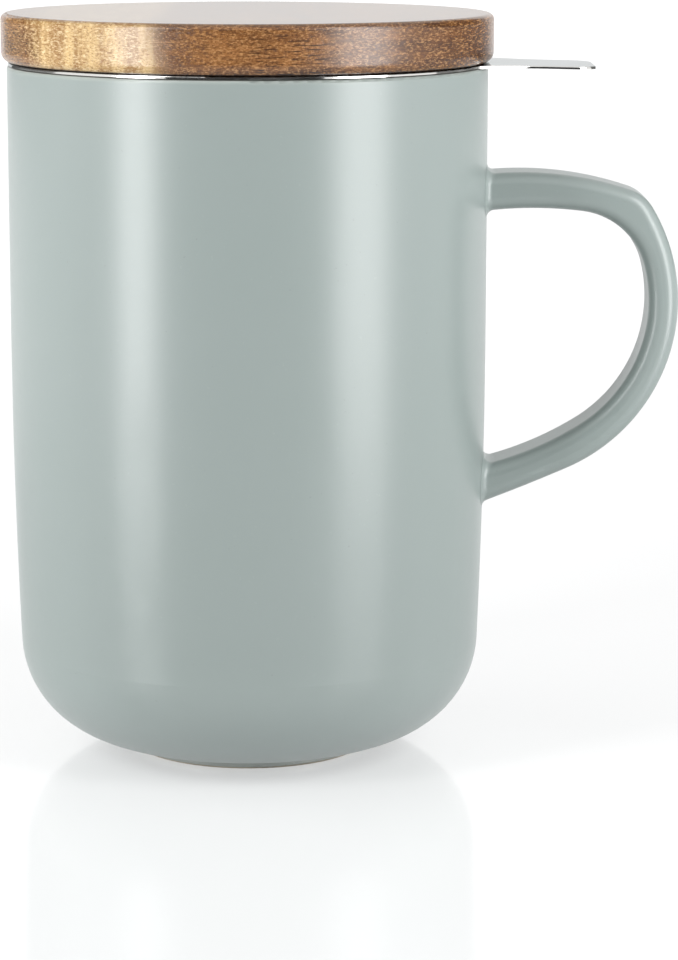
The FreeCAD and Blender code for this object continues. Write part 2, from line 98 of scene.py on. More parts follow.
class Finish:
    """One material, and the calls that add its nodes."""

    def __init__(self, name):
        self.material = bpy.data.materials.new(name)
        self.material.use_nodes = True
        self.tree = self.material.node_tree
        self.shader = self.tree.nodes["Principled BSDF"]
        self.solid = self.node("TexCoord").outputs["Object"]

    def feed(self, socket, value):
        """Links this socket to another one, or gives it a fixed value."""
        if isinstance(value, bpy.types.NodeSocket):
            self.tree.links.new(value, socket)
        else:
            socket.default_value = value

    def node(self, kind, inputs=None, **settings):
        """Adds a node with these settings and feeds its inputs."""
        made = self.tree.nodes.new("ShaderNode" + kind)
        for key, value in settings.items():
            setattr(made, key, value)
        for socket, value in (inputs or {}).items():
            self.feed(made.inputs[socket], value)
        return made

    def maths(self, operation, *values):
        made = self.node("Math", dict(enumerate(values)), operation=operation)
        return made.outputs[0]

    def stretch(self, scale, source=None):
        """The solid's own coordinates, times a scale along each axis."""
        inputs = {0: source or self.solid, 1: scale}
        return self.node("VectorMath", inputs, operation="MULTIPLY").outputs[0]

    def noise(self, scale, size=(1, 1, 1), detail=3.0, roughness=0.5):
        inputs = {
            "Vector": self.stretch(size),
            "Scale": scale,
            "Detail": detail,
            "Roughness": roughness,
        }
        return self.node("TexNoise", inputs).outputs["Fac"]

    def between(self, value, low, high, start=0.0, end=1.0):
        """A value eased from start to end while it goes from low to high."""
        inputs = {"Value": value, 1: low, 2: high, 3: start, 4: end}
        return self.node("MapRange", inputs, interpolation_type="SMOOTHSTEP").outputs[0]

    def blend(self, amount, first, second):
        """The first colour where the amount is 0, the second where it is 1."""
        made = self.node("Mix", data_type="RGBA")
        self.feed(made.inputs["Factor"], amount)
        self.feed(made.inputs[FIRST_COLOUR], first)
        self.feed(made.inputs[SECOND_COLOUR], second)
        return made.outputs[MIXED_COLOUR]

    def from_axis(self, parts):
        """How far a point is from the mug's axis, in metres."""
        square = self.maths("MULTIPLY", parts["X"], parts["X"])
        square = self.maths("MULTIPLY_ADD", parts["Y"], parts["Y"], square)
        return self.maths("SQRT", square)

    def relief(self, height, depth, below=None):
        """A bump of this depth in metres, on top of another bump."""
        inputs = {"Height": height, "Distance": depth, "Strength": 1.0}
        if below is not None:
            inputs["Normal"] = below
        return self.node("Bump", inputs).outputs["Normal"]

    def shade(self, **inputs):
        """Feeds the main shader. An underscore stands for a space in an input's name."""
        for name, value in inputs.items():
            self.feed(self.shader.inputs[name.replace("_", " ")], value)


print("a finish can:", [call for call in vars(Finish) if not call.startswith("_")])

# %% [markdown]
# ## Colours as a screen shows them
# A colour is easiest to choose as it looks on a screen, but the shader counts in linear
# light, where a mid grey is only a fifth of white. Typing linear numbers would be
# guesswork, so one function turns the screen's numbers into the shader's.

# %% Define tints
def tint(red, green, blue):
    """A colour given as it looks on a screen, 0 to 255, as the shader wants it."""
    def linear(channel):
        share = channel / 255
        return share / 12.92 if share <= 0.04045 else ((share + 0.055) / 1.055) ** 2.4

    return (linear(red), linear(green), linear(blue), 1.0)


print("a mid grey of 128 is", round(tint(128, 128, 128)[0], 3), "in linear light")

# %% [markdown]
# ## The glaze on the open wall
# The mug wears a satin, grey-green celadon: not glossy, because fine crystals grow in it
# as it cools. A plain colour with some roughness would look like plastic. What tells a
# glaze is that it varies: slow drifts of tone and fine specks of iron from the clay. Low on
# the wall a lighter tone is painted light, for the light that the white table throws up.
# This function lays those down in turn, from the widest to the finest.

# %% Mix the glaze of the wall
CELADON, CELADON_LIGHT = tint(146, 157, 154), tint(149, 159, 157)
CELADON_DEEP, CELADON_FLOOR_LIT = tint(140, 153, 150), tint(172, 183, 181)
IRON_SPECK, MILKY_SPECK = tint(108, 108, 96), tint(178, 187, 184)
# The wall is painted lighter up to this height, as painted light from the white table below.
FLOOR_LIGHT_FULL_TO, FLOOR_LIGHT_HEIGHT = 0.003, 0.024


def open_wall(glaze, height):
    """The wall's colour: drifts, painted light from the table low down, and specks."""
    drift = glaze.noise(26.0, detail=2.0)
    cloud = glaze.noise(140.0, detail=4.0, roughness=0.6)
    colour = glaze.blend(drift, CELADON, CELADON_LIGHT)
    pooled = glaze.between(cloud, 0.35, 0.75, 0.0, 0.08)
    colour = glaze.blend(pooled, colour, CELADON_DEEP)
    # Painted light: the wall is lighter low down, where the white table lights it from below.
    painted_floor_light = glaze.between(height, FLOOR_LIGHT_FULL_TO, FLOOR_LIGHT_HEIGHT, 0.55, 0.0)
    colour = glaze.blend(painted_floor_light, colour, CELADON_FLOOR_LIT)
    speck = glaze.noise(1500.0, detail=1.0)
    iron = glaze.between(speck, 0.75, 0.83, 0.0, 0.18)
    colour = glaze.blend(iron, colour, IRON_SPECK)
    milky = glaze.between(speck, 0.21, 0.29, 0.10, 0.0)
    return glaze.blend(milky, colour, MILKY_SPECK)


# Prints how high the painted light from the table reaches.
print("pool of glaze up to", round(FLOOR_LIGHT_HEIGHT / MM, 1), "mm")

# %% [markdown]
# ## The glaze at the rim and the foot
# On the rim the glaze runs thin and pale. On the rim's outer turn a thin dark line is
# painted shade: the shadow in the narrow gap under the steel rim's edge. The foot is wiped
# clean before firing, so that it can't stick to the kiln shelf, and shows bare clay below a
# thin pale edge. An image could paint these lines, but the mesh would have to be unwrapped
# for it. Height and distance from the axis are enough to place them, and a little noise
# lets the pale ones wander as a liquid's edge does.

# %% Thin the glaze at the rim, paint the gap's shadow and wipe the foot
RIM_HEIGHT = 0.126
# Painted shade: the height and radius of a thin dark line that stands in for the shadow under
# the steel rim's edge, and its colour.
GAP_SHADE_HEIGHT = 0.12582
GAP_SHADE_RADIUS = 0.0429
RIM_PALE, GAP_SHADE_DARK = tint(182, 187, 180), tint(52, 46, 40)
FOOT_WIPED_TO, FOOT_THIN_TO = 0.0003, 0.0013
FOOT_PALE = tint(206, 208, 202)
CLAY_DARK, CLAY_LIGHT = tint(186, 174, 152), tint(214, 204, 184)


def thin_rim_and_gap_shade(glaze, colour, parts, wander):
    """The pale glaze on the rim, and the painted shadow line on its outer turn, under the steel
    rim's edge.
    """
    height = glaze.maths("ADD", parts["Z"], wander)
    thin = glaze.between(height, RIM_HEIGHT - 0.0006, RIM_HEIGHT + 0.0004, 0.0, 0.40)
    colour = glaze.blend(thin, colour, RIM_PALE)
    # Painted shade: a dark line where the steel rim's edge shadows a narrow gap over the glaze.
    outer = glaze.between(glaze.from_axis(parts), GAP_SHADE_RADIUS - 0.0001, GAP_SHADE_RADIUS + 0.0001)
    gap_shade = glaze.between(parts["Z"], GAP_SHADE_HEIGHT - 0.00008, GAP_SHADE_HEIGHT + 0.00004, 0.0, 0.9)
    gap_shade = glaze.maths("MULTIPLY", gap_shade, outer)
    return glaze.blend(gap_shade, colour, GAP_SHADE_DARK)


def wiped_foot(glaze, colour, parts, wander):
    """The thin edge above the foot and the bare clay, and where the clay is bare."""
    foot_line = glaze.maths("ADD", parts["Z"], glaze.maths("MULTIPLY", wander, 0.15))
    foot_thin = glaze.between(foot_line, FOOT_THIN_TO - 0.0003, FOOT_THIN_TO, 0.45, 0.0)
    colour = glaze.blend(foot_thin, colour, FOOT_PALE)
    wiped = glaze.between(foot_line, FOOT_WIPED_TO, FOOT_WIPED_TO + 0.0002, 1.0, 0.0)
    clay = glaze.blend(glaze.noise(2600.0), CLAY_DARK, CLAY_LIGHT)
    return glaze.blend(wiped, colour, clay), wiped


print("rim at", round(RIM_HEIGHT / MM, 1), "mm, bare clay up to", round(FOOT_WIPED_TO / MM, 1))

# %% [markdown]
# ## The glaze as a whole
# The colours come together here with the sheen. One even roughness would be quicker, but
# it shines like a coat of varnish. So the roughness drifts a little, bare clay is much
# rougher, and two very low bumps, one wide and one fine, break up the highlights.

# %% Fire the glaze
CLAY_ROUGHNESS = 0.85


def make_glaze():
    glaze = Finish("satin_celadon_glaze")
    parts = glaze.node("SeparateXYZ", {0: glaze.solid}).outputs
    colour = open_wall(glaze, parts["Z"])
    wander = glaze.maths("MULTIPLY", glaze.noise(90.0), 0.0010)
    colour = thin_rim_and_gap_shade(glaze, colour, parts, wander)
    colour, wiped = wiped_foot(glaze, colour, parts, wander)
    satin = glaze.between(glaze.noise(700.0, detail=2.0), 0.3, 0.7, 0.295, 0.315)
    bare = glaze.maths("MULTIPLY", wiped, CLAY_ROUGHNESS)
    rough = glaze.maths("MAXIMUM", satin, bare)
    skin = glaze.relief(glaze.noise(520.0, detail=2.0), 1.0 * MICRON)
    skin = glaze.relief(glaze.noise(3000.0, detail=2.0), 0.6 * MICRON, skin)
    glaze.shade(Base_Color=colour, Roughness=rough, IOR=1.6, Normal=skin)
    return glaze.material


glaze_material = make_glaze()
print("glaze with", len(glaze_material.node_tree.nodes), "nodes")

# %% [markdown]
# ## Acacia: the growth rings
# The lid is turned from one piece of acacia, with the grain running from front to back.
# So the front of the rim shows end grain, a crowd of cut pores and pale specks, while its
# left and right show long fibres, and the top shows streaks. An image would need a
# different picture for each face. A solid texture needs none: rings, fibres and pores are
# worked out in space, and the turned shape simply cuts through them. The rings lie round
# the tree's pith, which here is a line from front to back, about 20 mm below the lid.

# %% Grow the rings
PITH_PLACE = (0.008, 0.112)
PITH_LEAN = (math.radians(4), 0, math.radians(2))
RING_SPACING = 0.0038
RING_BEND = 0.008


def growth_rings(wood, bend):
    """How deep a point lies in the late, dark part of its ring, from 0 to 1."""
    place = (-PITH_PLACE[0], 0, -PITH_PLACE[1])
    inputs = {"Vector": wood.solid, "Location": place, "Rotation": PITH_LEAN}
    lean = wood.node("Mapping", inputs).outputs[0]
    across = wood.stretch((1, 0, 1), lean)
    distance = wood.node("VectorMath", {0: across}, operation="LENGTH").outputs["Value"]
    distance = wood.maths("ADD", distance, wood.maths("MULTIPLY", bend, RING_BEND))
    turn = wood.maths("FRACT", wood.maths("DIVIDE", distance, RING_SPACING))
    late = wood.between(turn, 0.35, 0.90)
    return wood.maths("MULTIPLY", late, wood.between(turn, 0.90, 1.0, 1.0, 0.0))


print("a ring every", round(RING_SPACING / MM, 1), "mm")

# %% [markdown]
# ## Acacia: heartwood and sapwood
# The left of the blank is golden sapwood with a rippled figure, the rest brown heartwood
# in pale and dark bands, which begins again at the blank's far left edge. Two materials on
# two parts of the mesh would meet in a hard line. Here both colours are worked out
# everywhere, and a share that leans and wanders like the tree's own border chooses.

# %% Colour the heartwood and the sapwood
HEART_DARK, HEART_LIGHT = tint(68, 36, 11), tint(114, 70, 30)
HEART_RING, SAP_RING = tint(88, 50, 24), tint(160, 112, 60)
PALE_BAND, DARK_BAND = tint(176, 122, 72), tint(58, 30, 12)
SAP_DARK, SAP_LIGHT = tint(160, 120, 68), tint(214, 180, 124)
LID_MIDDLE = 0.131
BORDER_SLOPE, BORDER_BEND, BORDER_FRAY = 0.15, 0.006, 0.008
SAPWOOD_EDGE = -0.0135
BARK_SIDE_EDGE = -0.0330


def heartwood(wood, ring):
    streak = wood.noise(150.0, size=(1, 0.05, 0.8), detail=4.0, roughness=0.6)
    heart = wood.blend(wood.between(streak, 0.3, 0.7), HEART_DARK, HEART_LIGHT)
    heart = wood.blend(wood.maths("MULTIPLY", ring, 0.22), heart, HEART_RING)
    band = wood.noise(75.0, size=(0.45, 0.1, 3.0), detail=3.0, roughness=0.6)
    heart = wood.blend(wood.between(band, 0.42, 0.66, 0.0, 0.40), heart, PALE_BAND)
    return wood.blend(wood.between(band, 0.34, 0.52, 0.45, 0.0), heart, DARK_BAND)


def sapwood(wood, ring):
    ripple = wood.noise(620.0, size=(1, 0.3, 0.10), detail=2.0)
    sap = wood.blend(wood.between(ripple, 0.3, 0.7), SAP_DARK, SAP_LIGHT)
    return wood.blend(wood.maths("MULTIPLY", ring, 0.12), sap, SAP_RING)


def heart_share(wood, parts, bend, speck):
    """1 in the heartwood, 0 in the sapwood, and 0.85 beyond the far left border."""
    above = wood.maths("SUBTRACT", parts["Z"], LID_MIDDLE)
    edge = wood.maths("ADD", parts["X"], wood.maths("MULTIPLY", above, BORDER_SLOPE))
    edge = wood.maths("ADD", edge, wood.maths("MULTIPLY", bend, BORDER_BEND))
    frayed = wood.maths("MULTIPLY", wood.maths("SUBTRACT", speck, 0.5), BORDER_FRAY)
    edge = wood.maths("ADD", edge, frayed)
    is_heart = wood.between(edge, SAPWOOD_EDGE - 0.001, SAPWOOD_EDGE + 0.0045)
    far_side = wood.between(edge, BARK_SIDE_EDGE - 0.003, BARK_SIDE_EDGE + 0.002, 0.85, 0.0)
    return wood.maths("MAXIMUM", is_heart, far_side)


print("sapwood from", round(BARK_SIDE_EDGE / MM, 1), "to", round(SAPWOOD_EDGE / MM, 1), "mm")

# %% [markdown]
# ## Acacia: dashes and the painted shade at the edge
# Some vessels are so wide that their cut ends show as short dark dashes, most of them in
# a denser strip right of the middle. The lid's lowest edge, just above the steel rim, is
# painted shade: a dark line for the shadow where the lid meets the rim. Dashes could be
# placed one by one, but a stretched noise, cut off high, scatters them as a tree does, and
# the strip only changes how many of them show.

# %% Cut the dashes and paint the shade at the edge
DASH_DARK, EDGE_SHADE_DARK = tint(54, 28, 12), tint(24, 14, 10)
STRIP_LEFT, STRIP_RIGHT = (0.000, 0.004), (0.012, 0.018)
# Painted shade on the lid's lowest edge, above the steel rim: its top and its radius.
EDGE_SHADE_TOP = 0.12685
EDGE_SHADE_FROM = 0.0426


def dashes(wood, parts, is_heart):
    """Where a dark dash shows: heartwood only, and most often in the strip."""
    fleck = wood.noise(900.0, size=(0.26, 0.10, 3.2), detail=2.0, roughness=0.6)
    strip = wood.between(parts["X"], *STRIP_LEFT)
    strip = wood.maths("MULTIPLY", strip, wood.between(parts["X"], *STRIP_RIGHT, 1.0, 0.0))
    share = wood.between(strip, 0.0, 1.0, 0.35, 0.92)
    dash = wood.maths("MULTIPLY", wood.between(fleck, 0.54, 0.61), share)
    return wood.maths("MULTIPLY", dash, is_heart)


def painted_edge_shade(wood, parts):
    """Where painted shade darkens the lid's outer edge: its lowest third of a millimetre."""
    low = wood.between(parts["Z"], EDGE_SHADE_TOP - 0.00015, EDGE_SHADE_TOP + 0.0001, 0.92, 0.0)
    at_edge = wood.between(wood.from_axis(parts), EDGE_SHADE_FROM - 0.0002, EDGE_SHADE_FROM + 0.0001)
    return wood.maths("MULTIPLY", low, at_edge)


print("dashes crowd up to", round(STRIP_RIGHT[1] / MM), "mm right of the middle")

# %% [markdown]
# ## Acacia: pores, sanding and oil
# Fine noise gives the pores and the pale specks between them, and the same noise makes
# the relief, so that a dark pore is also a small pit. The top is sanded finer than the
# rim, so it shines more and its pores are nearly closed. A second material for the top
# would do that too, but would cut the figure at the edge.

# %% Finish the wood
SAP_SPECK, HEART_SPECK = tint(240, 218, 174), tint(198, 150, 98)
SAP_PORE, HEART_PORE = tint(128, 84, 40), tint(62, 34, 16)
SANDED_TONE = tint(128, 92, 56)
SANDED_TOP = 0.1352
PORE_DEPTH = 10 * MICRON


def make_acacia():
    wood = Finish("oiled_acacia")
    parts = wood.node("SeparateXYZ", {0: wood.solid}).outputs
    sanded = wood.between(parts["Z"], SANDED_TOP - 0.0004, SANDED_TOP)
    bend = wood.noise(22.0, size=(1, 0.25, 1), detail=2.0)
    speck = wood.noise(3300.0, size=(0.55, 0.10, 1.2), detail=3.0, roughness=0.75)
    ring = growth_rings(wood, bend)
    is_heart = heart_share(wood, parts, bend, speck)
    colour = wood.blend(is_heart, sapwood(wood, ring), heartwood(wood, ring))
    pale = wood.between(speck, 0.50, 0.64, 0.0, 0.70)
    colour = wood.blend(pale, colour, wood.blend(is_heart, SAP_SPECK, HEART_SPECK))
    pore = wood.between(speck, 0.36, 0.46, 0.80, 0.0)
    colour = wood.blend(pore, colour, wood.blend(is_heart, SAP_PORE, HEART_PORE))
    colour = wood.blend(dashes(wood, parts, is_heart), colour, DASH_DARK)
    colour = wood.blend(wood.maths("MULTIPLY", sanded, 0.5), colour, SANDED_TONE)
    # Painted shade along the lid's lowest edge, where it meets the steel rim.
    colour = wood.blend(painted_edge_shade(wood, parts), colour, EDGE_SHADE_DARK)
    height = wood.maths("SUBTRACT", pale, pore)
    open_grain = wood.maths("MULTIPLY", height, wood.between(sanded, 0.0, 1.0, 1.0, 0.12))
    grain = wood.relief(open_grain, PORE_DEPTH)
    side_rough = wood.between(speck, 0.35, 0.65, 0.24, 0.17)
    rough = wood.between(sanded, 0.0, 1.0, side_rough, 0.15)
    wood.shade(Base_Color=colour, Roughness=rough, IOR=1.6, Normal=grain)
    return wood.material


acacia_material = make_acacia()
print("acacia with", len(acacia_material.node_tree.nodes), "nodes")

# %% [markdown]
# ## Spot welds
# The perforated sheet's seam is held by a row of spot welds: each leaves a small dull
# dimple with a straw-coloured ring. They could be pressed into the mesh, but they are
# under a tenth of a millimetre deep, so colour and a bump do. The distance to the nearest
# weld is worked out from the height, folded back and forth, and from the side.

# %% Weld the seam
WELD_STEP = 0.006
WELD_RADIUS = 0.0007
WELD_DEPTH = 0.00008
SEAM_SIDE = (0.030, 0.031)
WELD_DULL, WELD_STRAW = tint(150, 148, 144), tint(196, 172, 128)


def spot_welds(steel, colour, skin):
    """The colour and the relief with the welds added."""
    parts = steel.node("SeparateXYZ", {0: steel.solid}).outputs
    along = steel.maths("PINGPONG", parts["Z"], WELD_STEP / 2)
    square = steel.maths("MULTIPLY", along, along)
    square = steel.maths("MULTIPLY_ADD", parts["Y"], parts["Y"], square)
    away = steel.maths("SQRT", square)
    on_seam = steel.between(parts["X"], *SEAM_SIDE)
    spot = steel.between(away, WELD_RADIUS, 1.3 * WELD_RADIUS, 1.0, 0.0)
    spot = steel.maths("MULTIPLY", spot, on_seam)
    halo = steel.between(away, 1.3 * WELD_RADIUS, 2.6 * WELD_RADIUS, 0.5, 0.0)
    colour = steel.blend(steel.maths("MULTIPLY", halo, on_seam), colour, WELD_STRAW)
    colour = steel.blend(spot, colour, WELD_DULL)
    return colour, steel.relief(steel.maths("SUBTRACT", 1.0, spot), WELD_DEPTH, skin)


print("a weld every", round(WELD_STEP / MM, 1), "mm")

# %% [markdown]
# ## Steel
# The rim is polished, the perforated sheet is satin. Metal has hardly any colour of its
# own, so it lives on what it mirrors and on how cleanly it does so. Both finishes are the
# same recipe with other numbers: a roughness that drifts like wiped fingerprints, and
# fine scratches, long in one direction for the rolled sheet. The specular tint takes a
# little off what the steel mirrors at a shallow angle, where bare metal would turn white.

# %% Polish the steel
BRIGHT_STEEL, PLAIN_STEEL = tint(222, 221, 218), tint(204, 203, 200)
STEEL_GLANCE = tint(212, 216, 217)
SCRATCH_SHADE = 0.88


def make_steel(name, base, roughness, depth, stretch, welded=False):
    steel = Finish(name)
    smear = steel.noise(60.0, detail=3.0)
    rough = steel.between(smear, 0.3, 0.7, *roughness)
    lines = steel.noise(900.0, size=stretch, detail=2.0)
    tone = steel.between(lines, 0.35, 0.65, 0.0, 0.25)
    shaded = tuple(SCRATCH_SHADE * channel for channel in base[:3]) + (1.0,)
    colour = steel.blend(tone, base, shaded)
    skin = steel.relief(lines, depth)
    if welded:
        colour, skin = spot_welds(steel, colour, skin)
    steel.shade(Base_Color=colour, Roughness=rough, Normal=skin, Metallic=1.0)
    steel.shade(Specular_Tint=STEEL_GLANCE)
    return steel.material


polished_material = make_steel(
    "polished_steel", BRIGHT_STEEL, roughness=(0.07, 0.13), depth=0.8 * MICRON, stretch=(1, 1, 3)
)
satin_material = make_steel(
    "satin_perforated_steel",
    PLAIN_STEEL,
    roughness=(0.22, 0.32),
    depth=3.0 * MICRON,
    stretch=(0.2, 0.2, 4),
    welded=True,
)
print("steels:", polished_material.name, satin_material.name)

# %% [markdown]
# ## Silicone
# The lid's seal is milky silicone: light goes in, scatters and comes out again. The
# shader's subsurface setting does that, where a white colour alone would look like chalk.
# A little cloudiness and fine dust keep it from looking computed.

# %% Pour the silicone
MILKY, MILKY_LIGHT, DUST = tint(216, 217, 212), tint(232, 232, 228), tint(176, 170, 160)


def make_silicone():
    silicone = Finish("milky_silicone")
    cloud = silicone.noise(180.0, detail=3.0)
    colour = silicone.blend(cloud, MILKY, MILKY_LIGHT)
    dust = silicone.between(silicone.noise(2400.0, detail=1.0), 0.70, 0.78, 0.0, 0.4)
    colour = silicone.blend(dust, colour, DUST)
    rough = silicone.between(cloud, 0.3, 0.7, 0.38, 0.5)
    skin = silicone.relief(silicone.noise(1400.0, detail=2.0), 6 * MICRON)
    silicone.shade(Base_Color=colour, Roughness=rough, Normal=skin, IOR=1.41)
    silicone.shade(Subsurface_Weight=0.35, Subsurface_Scale=0.0015)
    silicone.shade(Subsurface_Radius=(1.0, 0.9, 0.8))
    return silicone.material


silicone_material = make_silicone()
print("silicone with", len(silicone_material.node_tree.nodes), "nodes")

# %% [markdown]
# ## Dress the solids
# A solid whose shape is right keeps its mesh and only gets a new finish in its material
# slot. That covers all that the picture shows: mug, handle, steel rim and lid. The
# perforated sheet and the seal get theirs here too, though finer meshes replace them
# further down, so that every solid is dressed should one of these steps be left out.

# %% Give the solids their finishes
FINISH_OF = {
    "mug_body": glaze_material,
    "mug_handle": glaze_material,
    "infuser_rim": polished_material,
    "infuser_base_ring": polished_material,
    "lid_disc": acacia_material,
    "infuser_wall": satin_material,
    "infuser_floor": satin_material,
    "lid_seal": silicone_material,
}
for name, material in FINISH_OF.items():
    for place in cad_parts[name].material_slots:
        place.material = material
    print(name, "wears", material.name)

# %% [markdown]
# ## Perforated sheet, laid out flat
# The infuser's sleeve is punched while the sheet is flat and rolled afterwards, and so it
# is made here: holes in staggered rows first, bending later. Cutting thousands of holes
# with a boolean would take minutes and leave ragged faces. Instead the plane is divided
# into six-sided cells, and each cell is a ring of twelve four-sided faces round its own
# hole. Cells share their corners, so the sheet is one clean mesh from the start.

# %% Define a flat sheet of cells
HOLE_PITCH = 2.2
HOLE_RADIUS = 0.55
CELL_RADIUS = HOLE_PITCH / math.sqrt(3)
ROW_STEP = 1.5 * CELL_RADIUS
SIDES = 12
NEAR = 0.01
# Points are told apart in steps of a micron. The shift keeps the regular points of the
# cells away from the values where rounding could go either way.
MERGE_STEPS = 1000
MERGE_SHIFT = 0.137


class FlatSheet:
    """The plan of a sheet in millimetres: points, and faces that share them."""

    def __init__(self):
        self.points = []
        self.faces = []
        self.index = {}

    def point(self, across, up):
        """The place of a point in the list. Points in the same micron are one."""
        key = tuple(round(side * MERGE_STEPS + MERGE_SHIFT) for side in (across, up))
        if key not in self.index:
            self.index[key] = len(self.points)
            self.points.append((across, up))
        return self.index[key]

    def face(self, *corners):
        self.faces.append([self.point(*corner) for corner in corners])

    def cell(self, across, up, top=None, bottom=None):
        """One cell with its hole. A top or bottom line flattens that side of the cell."""
        ring, hole = [], []
        for side in range(SIDES):
            angle = 2 * math.pi * side / SIDES
            reach = CELL_RADIUS if side % 2 else HOLE_PITCH / 2
            turn_x, turn_y = math.cos(angle), math.sin(angle)
            height = up + reach * turn_y
            if top is not None and reach * turn_y > NEAR:
                height = top
            if bottom is not None and reach * turn_y < -NEAR:
                height = bottom
            ring.append((across + reach * turn_x, height))
            hole.append((across + HOLE_RADIUS * turn_x, up + HOLE_RADIUS * turn_y))
        for side in range(SIDES):
            after = (side + 1) % SIDES
            self.face(ring[side], ring[after], hole[after], hole[side])

    def grid(self, columns, rows, wanted=lambda across, up: True):
        """Plain faces between these columns and rows."""
        for left, right in zip(columns, columns[1:]):
            for low, high in zip(rows, rows[1:]):
                if wanted((left + right) / 2, (low + high) / 2):
                    self.face((left, low), (right, low), (right, high), (left, high))

    def rims(self):
        """The edges that only one face uses, each in its face's direction."""
        edges = {}
        for corners in self.faces:
            for start, end in zip(corners, corners[1:] + corners[:1]):
                edges[(start, end)] = True
        return [(start, end) for start, end in edges if (end, start) not in edges]


print("holes of", 2 * HOLE_RADIUS, "mm, every", HOLE_PITCH, "mm")

# %% [markdown]
# ## From plan to piece
# A flat plan becomes sheet metal in two steps that every piece of sheet shares. First
# each point is bent to its place, once for each face of the sheet, and the cut edges are
# closed. A Solidify modifier would do the same, but only along the surface's normal, and
# it would have to be applied. Then the mesh takes the place of its solid and rides on the
# same body.

# %% Define thickening and placing
SHARP_FROM = math.radians(35)


def thicken(name, flat, place):
    """A mesh with both faces of the sheet and its cut edges. place bends a point."""
    points = [place(x, y, side) for side in (1, -1) for x, y in flat.points]
    count = len(flat.points)
    faces = list(flat.faces)
    faces += [[corner + count for corner in reversed(corners)] for corners in flat.faces]
    faces += [[end, start, start + count, end + count] for start, end in flat.rims()]
    mesh = bpy.data.meshes.new(name)
    mesh.from_pydata([[MM * side for side in point] for point in points], [], faces)
    mesh.validate()
    mesh.shade_smooth()
    mesh.set_sharp_from_angle(angle=SHARP_FROM)
    return mesh


def show(mesh, material, body, slot, *nodes):
    """Puts a mesh in the scene in place of these solids, to move with their body."""
    mesh.materials.append(material)
    made = bpy.data.objects.new(mesh.name, mesh)
    bpy.context.scene.collection.objects.link(made)
    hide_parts(*nodes)
    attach(made, body)
    print(made.name, "has", len(mesh.polygons), "faces and replaces", *nodes)


print("edges sharper than", round(math.degrees(SHARP_FROM)), "degrees stay sharp")

# %% [markdown]
# ## The infuser's sleeve
# The sheet is as long as the sleeve's girth plus a lap. Rolled up, its first end stays on
# the outside and its last end steps inwards by one thickness and slips behind the first,
# where the two are spot-welded. A closed tube would be simpler, but then the seam that
# every such infuser shows would be missing. First come the rows of holes. Every other row
# is shifted by half a pitch, so half a cell is missing at both of its ends, and plain
# faces fill those.

# %% Punch the sleeve's holes
FIELD_LEFT, FIELD_LOW = 7.0, 45.0
FIELD_COLUMNS, FIELD_ROWS = 102, 31
FIELD_RIGHT = FIELD_LEFT + FIELD_COLUMNS * HOLE_PITCH
FIELD_HIGH = FIELD_LOW + (FIELD_ROWS - 1) * ROW_STEP + 2 * CELL_RADIUS


def fill_ends(flat, up):
    """Plain half cells at both ends of a shifted row."""
    quarter, half = HOLE_PITCH / 4, HOLE_PITCH / 2
    steps = [(0, -1), (quarter, -0.75), (half, -0.5), (half, 0)]
    steps += [(half, 0.5), (quarter, 0.75), (0, 1)]
    for line, way in ((FIELD_LEFT, 1), (FIELD_RIGHT, -1)):
        curve = [(line + way * x, up + CELL_RADIUS * y) for x, y in steps]
        middle = (line, up)
        for first in (0, 2, 4):
            corners = [middle, *curve[first:first + 3]]
            flat.face(*(corners if way > 0 else reversed(corners)))


def sleeve_field(flat):
    """All rows of cells. The lowest and the highest end in a straight line."""
    for row in range(FIELD_ROWS):
        up = FIELD_LOW + CELL_RADIUS + row * ROW_STEP
        shifted = row % 2
        top = FIELD_HIGH if row == FIELD_ROWS - 1 else None
        bottom = FIELD_LOW if row == 0 else None
        for column in range(FIELD_COLUMNS - shifted):
            across = FIELD_LEFT + (column + 0.5 + shifted / 2) * HOLE_PITCH
            flat.cell(across, up, top, bottom)
        if shifted:
            fill_ends(flat, up)


sleeve_flat = FlatSheet()
sleeve_field(sleeve_flat)
print("rows of holes from", FIELD_LOW, "to", round(FIELD_HIGH, 1), "mm")

# %% [markdown]
# ## The sleeve's plain margins
# The margins stay plain, because a hole that is cut in half would leave sharp points, and
# because the collar and the base ring have to grip whole sheet. They take over the
# heights and the places across at which the field's points lie, so that the faces meet
# corner to corner. Wider faces would be fewer, but would leave slits. Where the seam laps,
# the lowest strip of the inner layer is cut away to make room for the floor's edge.

# %% Add the sleeve's margins
SLEEVE_MIDDLE = 37.775
SLEEVE_LOW, SLEEVE_HIGH = 37.2, 112.0
GIRTH = 2 * math.pi * SLEEVE_MIDDLE
SEAM_LAP = 5.0
SEAM_LOW = 41.5
STEP_START, STEP_LENGTH, STEP_DEPTH = GIRTH - 3.0, 2.6, 0.36
LEFT_STRIPS, RIGHT_STRIPS = 7, 14


def sleeve_margins(flat):
    """Plain faces to the left, to the right, above and below the field."""
    left_rows, right_rows = (
        sorted(y for x, y in flat.points if abs(x - line) < NEAR)
        for line in (FIELD_LEFT, FIELD_RIGHT)
    )
    field_columns = sorted(x for x, y in flat.points if abs(y - FIELD_HIGH) < NEAR)
    left_columns = [FIELD_LEFT * part / LEFT_STRIPS for part in range(LEFT_STRIPS + 1)]
    margin = GIRTH + SEAM_LAP - FIELD_RIGHT
    right_columns = [
        FIELD_RIGHT + margin * part / RIGHT_STRIPS for part in range(RIGHT_STRIPS + 1)
    ]
    flat.grid(left_columns, left_rows)
    flat.grid(right_columns, right_rows)
    all_columns = left_columns[:-1] + field_columns + right_columns[1:]
    flat.grid(all_columns, [FIELD_HIGH, SLEEVE_HIGH])
    flat.grid(
        all_columns,
        [SLEEVE_LOW, SEAM_LOW, FIELD_LOW],
        lambda across, up: up > SEAM_LOW or across < STEP_START,
    )


